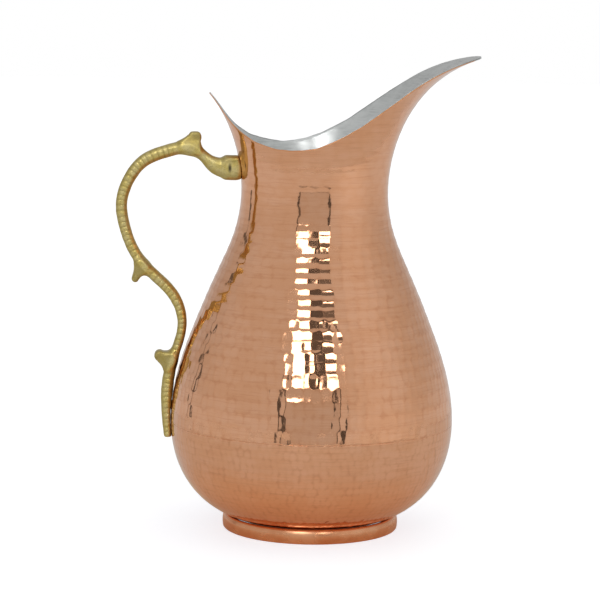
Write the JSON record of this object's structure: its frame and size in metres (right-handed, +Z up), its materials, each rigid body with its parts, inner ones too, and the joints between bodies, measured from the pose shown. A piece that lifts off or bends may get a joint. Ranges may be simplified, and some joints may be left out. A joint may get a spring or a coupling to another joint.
{
  "type": "copper water jug",
  "caption": "Hammered copper water jug, tinned inside, with a pear-shaped belly, a trumpet mouth drawn out into a long pouring lip, a foot ring and a riveted cast brass S handle",
  "frame": {"origin": "middle of the underside of the whole object's box, on the surface that the foot ring stands on", "axes": "+X from the handle to the spout, +Y to the side, +Z up; the jug's own turning axis is vertical through x = 0.0096 m, y = 0"},
  "size_m": [0.2055, 0.1614, 0.2716],
  "materials": {
    "copper": "hand-hammered copper sheet, small bright dents in rows, warm pink-orange, satin polish",
    "polished_copper": "smooth polished copper, fine turning marks, redder than the body",
    "tin": "wiped tin, pale grey, satin, faint brush marks running round",
    "cast_brass": "sand-cast brass, olive yellow, filed and buffed, slightly uneven"
  },
  "bodies": {
    "root": {"upper_body": "copper", "lower_bowl": "copper", "foot_ring": "polished_copper", "tin_lining": "tin", "handle": "cast_brass", "upper_rivet": "tin", "upper_washer": "tin", "lower_rivet": "tin", "lower_washer": "tin"}
  },
  "joints": []
}
